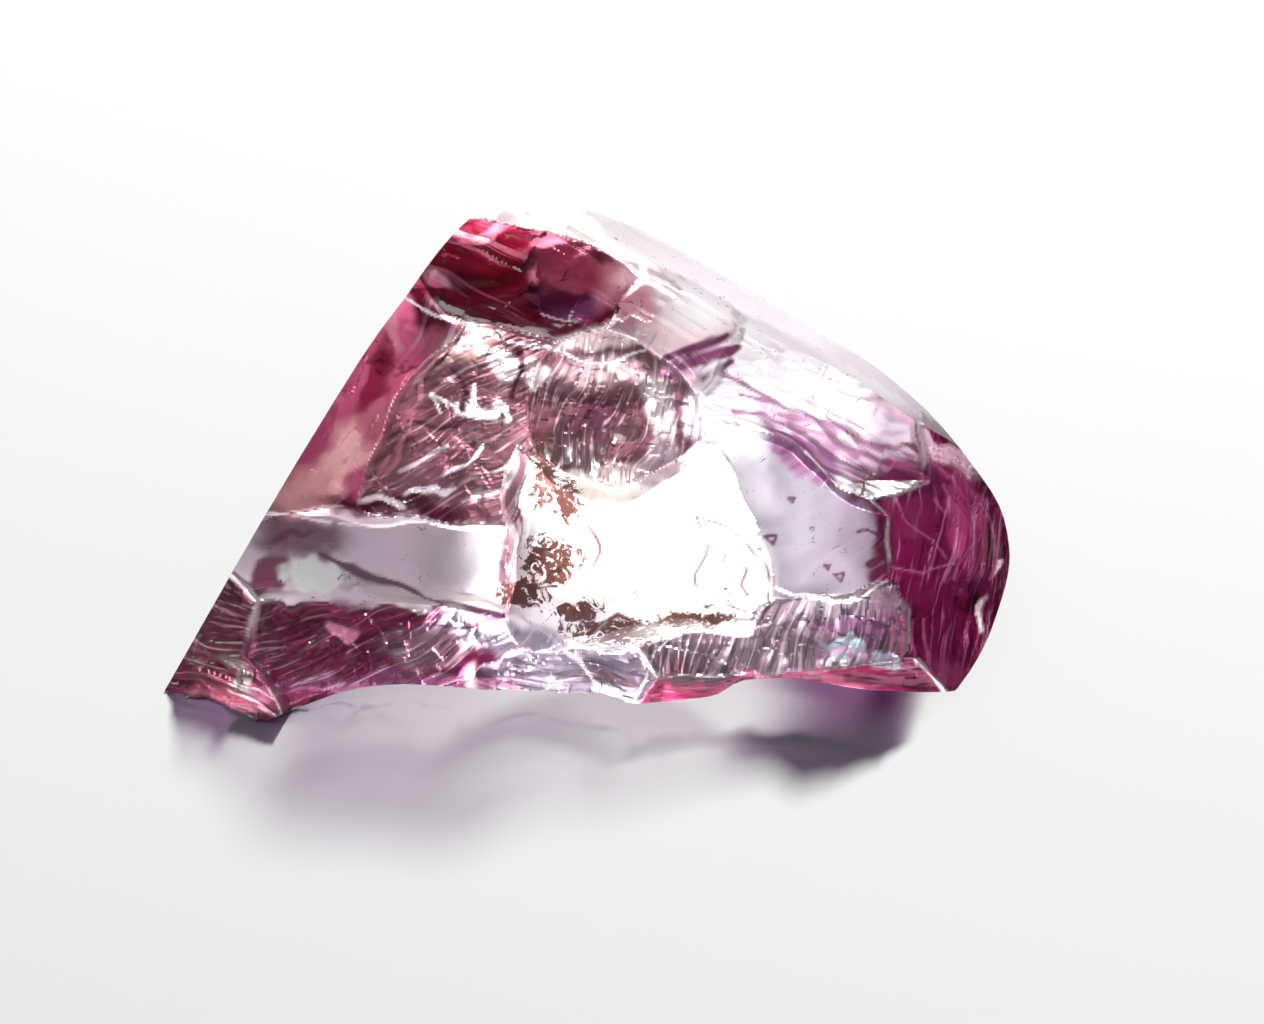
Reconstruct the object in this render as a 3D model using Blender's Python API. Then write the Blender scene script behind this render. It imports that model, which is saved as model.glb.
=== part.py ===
"""A rough alexandrite: one broken piece of a clear crystal with a smooth rounded skin.

The stone is a lump of smooth skin, cut straight on its left, flat below, and
broken open at the front. The broken face leans back. Its own frame has u to the
right, v up the slope and w out of the face, with the origin in the middle of the
face's foot. Everything is modelled in millimetres and made metres at the end.
"""

import math

import bmesh
import bpy
import numpy as np
from mathutils import Matrix, Vector
from mathutils.geometry import interpolate_bezier

MILLIMETRE = 0.001

# How steeply the broken face's normal rises from the ground
FACE_RISE = math.radians(50.0)

# Smooth skin: a rounded lump, long along the upper rim
SKIN_TURN = math.radians(-30.0)
SKIN_MIDDLE = (0.44, -0.83, -0.2)
SKIN_RIGHT = 12.2
SKIN_LEFT = 16.0
SKIN_UP = 8.05
SKIN_DOWN = 24.0
SKIN_FRONT = 7.5
SKIN_BACK = 9.5
SKIN_FULLNESS = 3.0
SKIN_SEGMENTS = 72
SKIN_RINGS = 40

# Straight cut on the left and its rounded upper corner, as (u, v), and corners
# that close its cutter clear of the stone
CUT_EDGE = (
    (-15.6, -8.4),
    (-13.74, -5.24),
    (-10.79, -0.09),
    (-8.0, 4.47),
    (-6.72, 6.24),
    (-6.15, 7.05),
    (-5.62, 7.75),
    (-5.05, 8.38),
    (-4.4, 8.87),
    (-3.6, 9.1),
    (-2.4, 9.1),
    (-1.0, 8.83),
    (0.4, 8.33),
    (2.0, 7.62),
)
PAST_CUT = ((2.0, 20.0), (-30.0, 20.0), (-30.0, -8.4))

# How far the straight cut turns towards the front
CUT_SHOW = math.radians(2.5)

# Broken lower edge, from the foot round the right end, as (u, v), and corners
# that close its cutter clear of the stone
LOWER_EDGE = (
    (-14.6, -5.0),
    (-13.6, -5.35),
    (-12.7, -5.97),
    (-11.1, -6.2),
    (-10.3, -5.95),
    (-9.4, -5.6),
    (-8.2, -5.22),
    (-6.7, -5.08),
    (-4.5, -5.22),
    (-2.1, -5.44),
    (-0.3, -5.64),
    (1.6, -5.5),
    (2.5, -5.36),
    (3.3, -4.94),
    (4.9, -4.9),
    (6.8, -5.22),
    (9.2, -5.3),
    (9.7, -5.05),
    (10.4, -4.0),
    (10.85, -2.9),
    (11.15, -1.9),
    (11.2, -1.0),
    (10.9, 0.2),
    (10.0, 1.5),
    (8.8, 2.95),
    (7.35, 4.25),
    (5.9, 5.25),
)
PAST_LOWER_EDGE = ((20.0, 5.25), (20.0, -20.0), (-20.0, -20.0), (-20.0, -5.0))

# Depth and height of the cutters that stand on an outline
PRISM_BOTTOM = -12.0
PRISM_TOP = 20.0

# Points on each side of an outline once its curve is drawn through them
CURVE_STEPS = 4

# Level of the broken face
FACE_LEVEL = 5.2

# Where the scars stop rising, and how far out the face's cutter reaches
SCAR_TOP = 10.0
FACE_TOP = 15.0

# Extent of the broken face: left, right, low and high, clear of the stone
FACE_EXTENT = (-16.0, 14.0, -8.0, 11.0)

# Spacing of the broken face's points
FACE_SPACING = 0.36

# Scars of the broken face: middle (u, v), height there, lean along u and v,
# and how fast the scar rises from its middle along u and v
SCARS = {
    "upper_lobe": (-2.6, 6.6, 0.25, 0.02, -0.34, 0.015, 0.05),
    "top_skin": (-3.4, 8.45, -0.20, -0.25, -1.70, -0.045, 0.00),
    "upper_right": (1.4, 6.0, 0.05, -0.12, -0.06, 0.09, 0.04),
    "rim_slope": (5.6, 3.2, -0.25, -0.14, -0.06, 0.01, 0.02),
    "left_bevel": (-8.7, 2.7, 0.10, 0.25, -0.10, 0.00, 0.00),
    "left_hollow": (-5.4, 1.9, -0.20, -0.03, 0.02, 0.06, 0.06),
    "ledge_facet": (-5.9, -1.3, -0.05, 0.02, -0.04, 0.01, 0.02),
    "lower_left": (-8.4, -3.8, -0.25, -0.03, 0.18, 0.02, 0.06),
    "foot": (-12.0, -5.0, -0.25, 0.26, -0.05, 0.05, 0.05),
    "upper_hollow": (-0.6, 2.7, -1.25, 0.00, 0.02, 0.24, 0.30),
    "core_hollow": (0.2, -1.3, -1.35, 0.02, -0.06, 0.07, 0.07),
    "oval": (4.7, -0.2, -0.45, -0.03, -0.08, 0.11, 0.04),
    "right_end": (9.0, -1.4, -0.25, -0.58, -0.10, -0.07, -0.01),
    "comb_band": (4.6, -3.6, 0.00, 0.02, -0.10, 0.03, 0.05),
    "lower_middle": (-2.6, -4.3, 0.00, 0.08, 0.22, 0.03, 0.04),
    "lower_right": (6.5, -4.9, 0.02, -0.03, 0.50, 0.01, 0.05),
}

# How far along its line a ledge bends
LEDGE_BEND_REACH = 3.0

# Ledges: the scar, a point on the ledge's line, the way its wall faces away in
# degrees, how steep the wall is, and how the line bends
LEDGES = (
    ("left_bevel", (-10.4, -0.1), -86.0, 2.0, 0.03),
    ("left_hollow", (-7.05, 2.6), 151.0, 1.8, -0.05),
    ("ledge_facet", (-5.9, -0.45), 88.0, 1.3, 0.02),
    ("ledge_facet", (-3.7, -1.5), 10.0, 2.0, 0.10),
    ("lower_left", (-6.4, -2.3), 82.0, 1.2, -0.04),
    ("lower_left", (-10.3, -5.2), 215.0, 2.0, 0.20),
    ("lower_middle", (-2.0, -3.0), 70.0, 2.0, -0.05),
    ("core_hollow", (-3.5, -0.5), 185.0, 2.0, 0.04),
    ("core_hollow", (0.5, -3.3), -85.0, 2.4, 0.06),
    ("core_hollow", (-0.6, 0.3), 90.0, 1.6, 0.20),
    ("core_hollow", (3.3, 0.0), 30.0, 1.0, -0.06),
    ("oval", (6.0, -2.5), -80.0, 1.6, -0.12),
    ("oval", (3.4, 2.3), 65.0, 1.3, -0.05),
    ("rim_slope", (8.3, 0.9), -100.0, 0.9, 0.10),
    ("right_end", (7.2, -0.5), 184.0, 1.6, 0.08),
    ("lower_right", (6.5, -4.55), 95.0, 1.6, 0.01),
    ("comb_band", (4.6, -2.7), 95.0, 1.2, 0.03),
)

# Side of the block that takes away everything below the ground
GROUND_BLOCK = 60.0

# Scoops out of the underside: middle (x, y) and half sizes (x, y, z)
UNDER_SCOOPS = {
    "front_scoop": ((0.8, -9.4), (10.5, 4.2, 0.45)),
    "right_scoop": ((13.2, -2.0), (4.2, 6.0, 1.1)),
    "back_scoop": ((-2.5, 8.6), (9.5, 3.6, 1.6)),
}
SCOOP_SEGMENTS = 40
SCOOP_RINGS = 24

# Edges sharper than this break the smooth shading
SHARP_ANGLE = math.radians(25.0)


def face_frame():
    """The broken face's frame in the world: its columns are u, v, w."""
    rise = FACE_RISE
    across = Vector((1.0, 0.0, 0.0))
    up_slope = Vector((0.0, math.sin(rise), math.cos(rise)))
    outward = Vector((0.0, -math.cos(rise), math.sin(rise)))
    return Matrix((across, up_slope, outward)).transposed().to_4x4()


def wander(u, v):
    """The slow waviness that bends every ledge."""
    wander_u = u + 0.10 * np.sin(2.1 * v + 0.8) + 0.06 * np.sin(3.7 * v - 1.9 * u)
    wander_v = v + 0.08 * np.sin(1.7 * u + 2.4) + 0.04 * np.sin(3.1 * u + 2.3 * v)
    return wander_u, wander_v


def past_ledge(u, v, point, turn, bend):
    """How far past a ledge's line the point (u, v) lies."""
    turn = math.radians(turn)
    off_u, off_v = u - point[0], v - point[1]
    past = off_u * math.cos(turn) + off_v * math.sin(turn)
    along = off_v * math.cos(turn) - off_u * math.sin(turn)
    return past - bend * np.minimum(along**2, LEDGE_BEND_REACH**2)


def face_height(u, v):
    """Height w of the broken face at (u, v): the lowest scar everywhere."""
    wander_u, wander_v = wander(u, v)
    lowest = np.full(np.shape(u), SCAR_TOP)
    for name, (mid_u, mid_v, height, lean_u, lean_v, rise_u, rise_v) in SCARS.items():
        along = u - mid_u
        up = v - mid_v
        surface = height + lean_u * along + lean_v * up
        surface = surface + rise_u * along**2 + rise_v * up**2
        for scar, point, turn, steepness, bend in LEDGES:
            if scar == name:
                past = past_ledge(wander_u, wander_v, point, turn, bend)
                surface = surface + steepness * np.maximum(past, 0.0)
        lowest = np.minimum(lowest, surface)
    return FACE_LEVEL + lowest


def new_object(name, bm, collection):
    """An object that holds the shape, with its faces pointing out."""
    bmesh.ops.recalc_face_normals(bm, faces=bm.faces)
    if bm.calc_volume(signed=True) < 0.0:
        bmesh.ops.reverse_faces(bm, faces=bm.faces)
    mesh = bpy.data.meshes.new(name)
    bm.to_mesh(mesh)
    bm.free()
    obj = bpy.data.objects.new(name, mesh)
    collection.objects.link(obj)
    return obj


def make_skin(name, collection, to_world):
    """The smooth lump: a sphere whose radius follows a rounded box in each direction."""
    bm = bmesh.new()
    bmesh.ops.create_uvsphere(
        bm, u_segments=SKIN_SEGMENTS, v_segments=SKIN_RINGS, radius=1.0
    )
    full = SKIN_FULLNESS
    for vert in bm.verts:
        right, up, front = vert.co.normalized()
        reach = (
            abs(right / (SKIN_RIGHT if right > 0 else SKIN_LEFT)) ** full
            + abs(up / (SKIN_UP if up > 0 else SKIN_DOWN)) ** full
            + abs(front / (SKIN_FRONT if front > 0 else SKIN_BACK)) ** full
        ) ** (-1.0 / full)
        vert.co = Vector((right, up, front)) * reach
    place = Matrix.Translation(SKIN_MIDDLE) @ Matrix.Rotation(SKIN_TURN, 4, "Z")
    bm.transform(to_world @ place)
    return new_object(name, bm, collection)


def make_face_cutter(collection, to_world):
    """Everything in front of the broken face."""
    left, right, low, high = FACE_EXTENT
    bm = bmesh.new()
    bmesh.ops.create_grid(
        bm,
        x_segments=round((right - left) / FACE_SPACING),
        y_segments=round((high - low) / FACE_SPACING),
        size=0.5,
    )
    for vert in bm.verts:
        u = left + (vert.co.x + 0.5) * (right - left)
        v = low + (vert.co.y + 0.5) * (high - low)
        vert.co = (u, v, float(face_height(np.array(u), np.array(v))))
    extruded = bmesh.ops.extrude_face_region(bm, geom=bm.faces[:], use_keep_orig=True)
    for element in extruded["geom"]:
        if isinstance(element, bmesh.types.BMVert):
            element.co.z = FACE_LEVEL + FACE_TOP
    bm.transform(to_world)
    return new_object("face_cutter", bm, collection)


def rounded(outline):
    """The outline as a smooth curve through its points."""
    points = [Vector(point) for point in outline]
    points = [points[0], *points, points[-1]]
    curve = []
    for before, start, stop, after in zip(points, points[1:], points[2:], points[3:]):
        leave = start + (stop - before) / 6
        arrive = stop - (after - start) / 6
        curve += interpolate_bezier(start, leave, arrive, stop, CURVE_STEPS)[:-1]
    return [*curve, points[-1]]


def make_prism(name, outline, collection, to_world):
    """A prism along the face's normal, with the outline (u, v)."""
    bm = bmesh.new()
    bottom = [bm.verts.new((u, v, PRISM_BOTTOM)) for u, v in outline]
    face = bm.faces.new(bottom)
    extruded = bmesh.ops.extrude_face_region(bm, geom=[face], use_keep_orig=True)
    for element in extruded["geom"]:
        if isinstance(element, bmesh.types.BMVert):
            element.co.z = PRISM_TOP
    bm.transform(to_world)
    return new_object(name, bm, collection)


def make_left_cutter(collection, to_world):
    """Everything left of the straight cut, which shows a little from the front."""
    run = Vector(CUT_EDGE[3]) - Vector(CUT_EDGE[1])
    axis = Vector((run.x, run.y, 0.0))
    pivot = Matrix.Translation((*CUT_EDGE[2], FACE_LEVEL))
    tip = pivot @ Matrix.Rotation(CUT_SHOW, 4, axis) @ pivot.inverted()
    outline = [*rounded(CUT_EDGE), *PAST_CUT]
    return make_prism("left_cutter", outline, collection, to_world @ tip)


def make_edge_cutter(collection, to_world):
    """Everything past the broken lower edge and the right end."""
    outline = [*rounded(LOWER_EDGE), *PAST_LOWER_EDGE]
    return make_prism("edge_cutter", outline, collection, to_world)


def make_floor_cutter(collection):
    """Everything below the ground."""
    bm = bmesh.new()
    bmesh.ops.create_cube(bm, size=GROUND_BLOCK)
    bmesh.ops.translate(bm, verts=bm.verts, vec=(0.0, 0.0, -GROUND_BLOCK / 2))
    return new_object("floor_cutter", bm, collection)


def make_scoop(name, collection):
    """A flat round hollow in the underside."""
    (middle_x, middle_y), (half_x, half_y, half_z) = UNDER_SCOOPS[name]
    bm = bmesh.new()
    bmesh.ops.create_uvsphere(
        bm, u_segments=SCOOP_SEGMENTS, v_segments=SCOOP_RINGS, radius=1.0
    )
    size = Matrix.Diagonal((half_x, half_y, half_z, 1.0))
    bm.transform(Matrix.Translation((middle_x, middle_y, 0.0)) @ size)
    return new_object(name, bm, collection)


def cut(body, cutter):
    """Takes the cutter's space out of the body."""
    cutter.hide_render = True
    cutter.display_type = "WIRE"
    modifier = body.modifiers.new(cutter.name, "BOOLEAN")
    modifier.operation = "DIFFERENCE"
    modifier.solver = "EXACT"
    modifier.object = cutter


def apply_modifiers(obj):
    """Makes the evaluated shape the object's own mesh."""
    graph = bpy.context.evaluated_depsgraph_get()
    mesh = bpy.data.meshes.new_from_object(obj.evaluated_get(graph))
    obj.modifiers.clear()
    old = obj.data
    obj.data = mesh
    bpy.data.meshes.remove(old)


def settle(obj):
    """Puts the origin under the middle of the stone, on the ground, and goes to metres."""
    points = np.array([vert.co for vert in obj.data.vertices])
    low = points.min(axis=0)
    high = points.max(axis=0)
    middle = Vector(((low[0] + high[0]) / 2, (low[1] + high[1]) / 2, 0.0))
    shift = Matrix.Translation(-middle)
    obj.data.transform(Matrix.Scale(MILLIMETRE, 4) @ shift)


def crystal_material():
    """Clear purple-red crystal."""
    material = bpy.data.materials.new("alexandrite")
    material.use_nodes = True
    shader = material.node_tree.nodes["Principled BSDF"]
    shader.inputs["Base Color"].default_value = (0.42, 0.07, 0.20, 1.0)
    shader.inputs["Roughness"].default_value = 0.06
    shader.inputs["Metallic"].default_value = 0.0
    shader.inputs["IOR"].default_value = 1.75
    shader.inputs["Transmission Weight"].default_value = 0.9
    return material


def clear_scene():
    """Removes everything that the scene starts with."""
    for obj in list(bpy.data.objects):
        bpy.data.objects.remove(obj, do_unlink=True)


def new_collection(name):
    """A collection of the scene."""
    collection = bpy.data.collections.new(name)
    bpy.context.scene.collection.children.link(collection)
    return collection


def main():
    """Builds the stone."""
    clear_scene()
    stone_collection = new_collection("rough_alexandrite_stone")
    cutters = new_collection("cutters")
    to_world = face_frame()
    stone = make_skin("rough_alexandrite", stone_collection, to_world)
    cut(stone, make_left_cutter(cutters, to_world))
    cut(stone, make_edge_cutter(cutters, to_world))
    cut(stone, make_floor_cutter(cutters))
    cut(stone, make_face_cutter(cutters, to_world))
    for name in UNDER_SCOOPS:
        cut(stone, make_scoop(name, cutters))
    apply_modifiers(stone)
    settle(stone)
    stone.data.set_sharp_from_angle(angle=SHARP_ANGLE)
    stone.data.materials.clear()
    stone.data.materials.append(crystal_material())


main()
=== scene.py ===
import math

import bmesh
import bpy
import numpy as np
from mathutils import Matrix, Vector
from mathutils.geometry import interpolate_bezier


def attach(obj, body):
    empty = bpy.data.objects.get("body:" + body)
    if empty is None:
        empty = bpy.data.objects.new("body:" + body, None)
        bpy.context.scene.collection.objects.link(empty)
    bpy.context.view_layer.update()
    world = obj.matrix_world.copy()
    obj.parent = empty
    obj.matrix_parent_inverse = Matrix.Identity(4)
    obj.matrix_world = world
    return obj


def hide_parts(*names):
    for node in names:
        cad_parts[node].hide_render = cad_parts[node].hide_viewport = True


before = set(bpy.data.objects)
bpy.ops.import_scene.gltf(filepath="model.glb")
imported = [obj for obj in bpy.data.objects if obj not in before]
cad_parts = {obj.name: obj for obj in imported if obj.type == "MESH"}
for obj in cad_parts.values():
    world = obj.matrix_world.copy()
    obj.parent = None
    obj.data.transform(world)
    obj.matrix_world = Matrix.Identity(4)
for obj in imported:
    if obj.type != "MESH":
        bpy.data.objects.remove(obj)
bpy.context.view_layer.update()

# The stone is a lump of smooth skin, cut straight on its left, flat below, and
# broken open at the front. The broken face has its own frame: u to the right, v
# up its slope and w out of it. Lengths are millimetres, made metres at the end.

MILLIMETRE = 0.001

# Where the part's origin lies in the frame that the stone is modelled in
STONE_MIDDLE = (-1.2889, 1.5540, 0.0)

# How steeply the broken face's normal rises from the ground
FACE_RISE = math.radians(50.0)

# Smooth skin: a rounded lump, long along the upper rim
SKIN_TURN = math.radians(-30.0)
SKIN_MIDDLE = (0.44, -0.83, -0.2)
SKIN_RIGHT = 12.2
SKIN_LEFT = 16.0
SKIN_UP = 8.05
SKIN_DOWN = 24.0
SKIN_FRONT = 7.5
SKIN_BACK = 9.5
SKIN_FULLNESS = 3.0
SKIN_SEGMENTS = 240
SKIN_RINGS = 130

# Straight cut on the left and its rounded upper corner, as (u, v), and corners
# that close its cutter clear of the stone
CUT_EDGE = (
    (-15.6, -8.4), (-13.74, -5.24), (-10.79, -0.09), (-8.0, 4.47), (-6.72, 6.24),
    (-6.15, 7.05), (-5.62, 7.75), (-5.05, 8.38), (-4.4, 8.87), (-3.6, 9.1), (-2.4, 9.1),
    (-1.0, 8.83), (0.4, 8.33), (2.0, 7.62),
)
PAST_CUT = ((2.0, 20.0), (-30.0, 20.0), (-30.0, -8.4))

# How far the straight cut turns towards the front
CUT_SHOW = math.radians(2.5)

# Broken lower edge, from the foot round the right end, as (u, v), and corners
# that close its cutter clear of the stone
LOWER_EDGE = (
    (-14.6, -5.0), (-13.6, -5.35), (-12.7, -5.97), (-11.1, -6.2), (-10.3, -5.95),
    (-9.4, -5.6), (-8.2, -5.22), (-6.7, -5.08), (-4.5, -5.22), (-2.1, -5.44),
    (-0.3, -5.64), (1.6, -5.5), (2.5, -5.36), (3.3, -4.94), (4.9, -4.9), (6.8, -5.22),
    (9.2, -5.3), (9.7, -5.05), (10.4, -4.0), (10.85, -2.9), (11.15, -1.9), (11.2, -1.0),
    (10.9, 0.2), (10.0, 1.5), (8.8, 2.95), (7.35, 4.25), (5.9, 5.25),
)
PAST_LOWER_EDGE = ((20.0, 5.25), (20.0, -20.0), (-20.0, -20.0), (-20.0, -5.0))

# Both cutters' ends along the face's normal
PRISM_BOTTOM = -12.0
PRISM_TOP = 20.0

# Points on each side of an outline once its curve is drawn through them
CURVE_STEPS = 4

# Level of the broken face
FACE_LEVEL = 5.2

# How far out the face's cutter reaches, and its extent: left, right, low and
# high, clear of the stone
FACE_TOP = 15.0
FACE_EXTENT = (-14.6, 12.2, -6.8, 9.6)

# Spacing of the broken face's points
FACE_SPACING = 0.055

# Scars of the broken face: middle (u, v), height there, lean along u and v,
# and how fast the scar rises from its middle along u and v
SCARS = {
    "upper_lobe": (-2.6, 6.6, 0.25, 0.02, -0.34, 0.015, 0.05),
    "top_skin": (-3.4, 8.45, -0.2, -0.25, -1.7, -0.045, 0.0),
    "upper_right": (1.4, 6.0, 0.05, -0.12, -0.06, 0.09, 0.04),
    "rim_slope": (5.6, 3.2, -0.25, -0.14, -0.06, 0.01, 0.02),
    "left_bevel": (-8.7, 2.7, 0.1, 0.25, -0.1, 0.0, 0.0),
    "left_hollow": (-5.4, 1.9, -0.2, -0.03, 0.02, 0.06, 0.06),
    "ledge_facet": (-5.9, -1.3, -0.05, 0.02, -0.04, 0.01, 0.02),
    "lower_left": (-8.4, -3.8, -0.25, -0.03, 0.18, 0.02, 0.06),
    "foot": (-12.0, -5.0, -0.25, 0.26, -0.05, 0.05, 0.05),
    "upper_hollow": (-0.6, 2.7, -1.25, 0.0, 0.02, 0.24, 0.3),
    "core_hollow": (0.2, -1.3, -1.35, 0.02, -0.06, 0.07, 0.07),
    "oval": (4.7, -0.2, -0.45, -0.03, -0.08, 0.11, 0.04),
    "right_end": (9.0, -1.4, -0.25, -0.58, -0.1, -0.07, -0.01),
    "comb_band": (4.6, -3.6, 0.0, 0.02, -0.1, 0.03, 0.05),
    "lower_middle": (-2.6, -4.3, 0.0, 0.08, 0.22, 0.03, 0.04),
    "lower_right": (6.5, -4.9, 0.02, -0.03, 0.5, 0.01, 0.05),
}

# How far along its line a ledge bends
LEDGE_BEND_REACH = 3.0

# Ledges: the scar, a point on the ledge's line, the way its wall faces away in
# degrees, how steep the wall is, and how the line bends
LEDGES = (
    ("left_bevel", (-10.4, -0.1), -86.0, 2.0, 0.03),
    ("left_hollow", (-7.05, 2.6), 151.0, 1.8, -0.05),
    ("ledge_facet", (-5.9, -0.45), 88.0, 1.3, 0.02),
    ("ledge_facet", (-3.7, -1.5), 10.0, 2.0, 0.1),
    ("lower_left", (-6.4, -2.3), 82.0, 1.2, -0.04),
    ("lower_left", (-10.3, -5.2), 215.0, 2.0, 0.2),
    ("lower_middle", (-2.0, -3.0), 70.0, 2.0, -0.05),
    ("core_hollow", (-3.5, -0.5), 185.0, 2.0, 0.04),
    ("core_hollow", (0.5, -3.3), -85.0, 2.4, 0.06),
    ("core_hollow", (-0.6, 0.3), 90.0, 1.6, 0.2),
    ("core_hollow", (3.3, 0.0), 30.0, 1.0, -0.06),
    ("oval", (6.0, -2.5), -80.0, 1.6, -0.12),
    ("oval", (3.4, 2.3), 65.0, 1.3, -0.05),
    ("rim_slope", (8.3, 0.9), -100.0, 0.9, 0.1),
    ("right_end", (7.2, -0.5), 184.0, 1.6, 0.08),
    ("lower_right", (6.5, -4.55), 95.0, 1.6, 0.01),
    ("comb_band", (4.6, -2.7), 95.0, 1.2, 0.03),
)

# How unevenly two scars meet
BORDER_JITTER = 0.14

# Fine relief of each scar: shard height, hackle height, strand direction in
# degrees, strand width, and ripple height
FINE = {
    "upper_lobe": (0.04, 0.01, -25.0, 0.4, 0.015),
    "top_skin": (0.0, 0.0, 0.0, 0.4, 0.0),
    "upper_right": (0.08, 0.03, -35.0, 0.25, 0.01),
    "rim_slope": (0.07, 0.07, -24.0, 0.2, 0.0),
    "left_bevel": (0.06, 0.01, 60.0, 0.35, 0.01),
    "left_hollow": (0.24, 0.05, 27.0, 0.16, 0.0),
    "ledge_facet": (0.0, 0.0, 0.0, 0.4, 0.005),
    "lower_left": (0.27, 0.06, 24.0, 0.16, 0.01),
    "foot": (0.24, 0.06, -22.0, 0.18, 0.0),
    "upper_hollow": (0.42, 0.04, 75.0, 0.15, 0.0),
    "core_hollow": (0.06, 0.01, 60.0, 0.3, 0.0),
    "oval": (0.0, 0.0, 35.0, 0.4, 0.005),
    "right_end": (0.07, 0.01, 78.0, 0.16, 0.006),
    "comb_band": (0.27, 0.06, 75.0, 0.18, 0.0),
    "lower_middle": (0.3, 0.06, -12.0, 0.16, 0.0),
    "lower_right": (0.08, 0.03, -4.0, 0.2, 0.0),
}

# Shards come in three sizes: their stretch along and across the strands, how far
# they are moved along, their size, and their share of the height
SHARD_SIZES = (
    (0.5, 1.2, 3.0, 1.2, 1.0),
    (0.8, 1.5, 0.0, 0.55, 0.5),
    (1.0, 1.3, 0.0, 0.26, 0.22),
)

# How much a shard's facet tilts, is hollow, and lies deeper than others
SHARD_TILT = 1.8
SHARD_HOLLOW = 0.35
SHARD_DROP = 0.3

# A strand's length, in widths: as relief, and as a line of colour
STRAND_LENGTH = 6.0
LINE_LENGTH = 14.0

# How deep the strands' lines of colour look, in millimetres
STRAND_DEPTH = 0.06

# Where a scar's ripples start, past its middle, and how close they lie
RIPPLE_START = (-2.0, 4.0)
RIPPLE_RATE = 6.3

# How much lower than the next scar a scar lies where its fine relief and its
# strands are whole
RELIEF_REACH = 0.12
STRAND_REACH = 0.06

# How much darker the band beside a ridge is, how pale the painted highlight on its
# crest, and how much lower than the next scar a scar lies where they are still whole and where they end
BORDER_DARKENING = 0.6
BORDER_DARKENING_REACH = (0.06, 0.12)
CREST_HIGHLIGHT = 0.35
CREST_HIGHLIGHT_REACH = (0.02, 0.08)

# Each scar's look: its colour as light comes through it, as the square root of
# the tint, how frosted it is, and how much the strands show
SCAR_LOOKS = {
    "upper_lobe": (0.14, 0.006, 0.022, 0.06, 0.3),
    "top_skin": (1.0, 1.0, 1.0, 0.4, 0.0),
    "upper_right": (1.0, 0.8, 0.83, 0.28, 0.3),
    "rim_slope": (1.0, 1.0, 1.0, 0.28, 0.2),
    "left_bevel": (0.6, 0.12, 0.24, 0.12, 0.3),
    "left_hollow": (0.24, 0.1, 0.125, 0.28, 1.0),
    "ledge_facet": (0.63, 0.58, 0.62, 0.28, 0.05),
    "lower_left": (0.085, 0.01, 0.032, 0.28, 0.9),
    "foot": (0.092, 0.024, 0.038, 0.28, 1.0),
    "upper_hollow": (0.115, 0.048, 0.062, 0.28, 0.7),
    "core_hollow": (1.0, 1.0, 1.0, 0.28, 0.05),
    "oval": (0.26, 0.25, 0.28, 0.28, 0.04),
    "right_end": (0.155, 0.006, 0.052, 0.1, 1.0),
    "comb_band": (0.18, 0.13, 0.155, 0.28, 1.0),
    "lower_middle": (0.22, 0.19, 0.24, 0.28, 1.0),
    "lower_right": (0.42, 0.05, 0.15, 0.1, 0.8),
}
# Look of the painted highlight on a ridge's crest
CREST_HIGHLIGHT_LOOK = (0.96, 0.90, 0.91, 0.35, 0.0)
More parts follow.
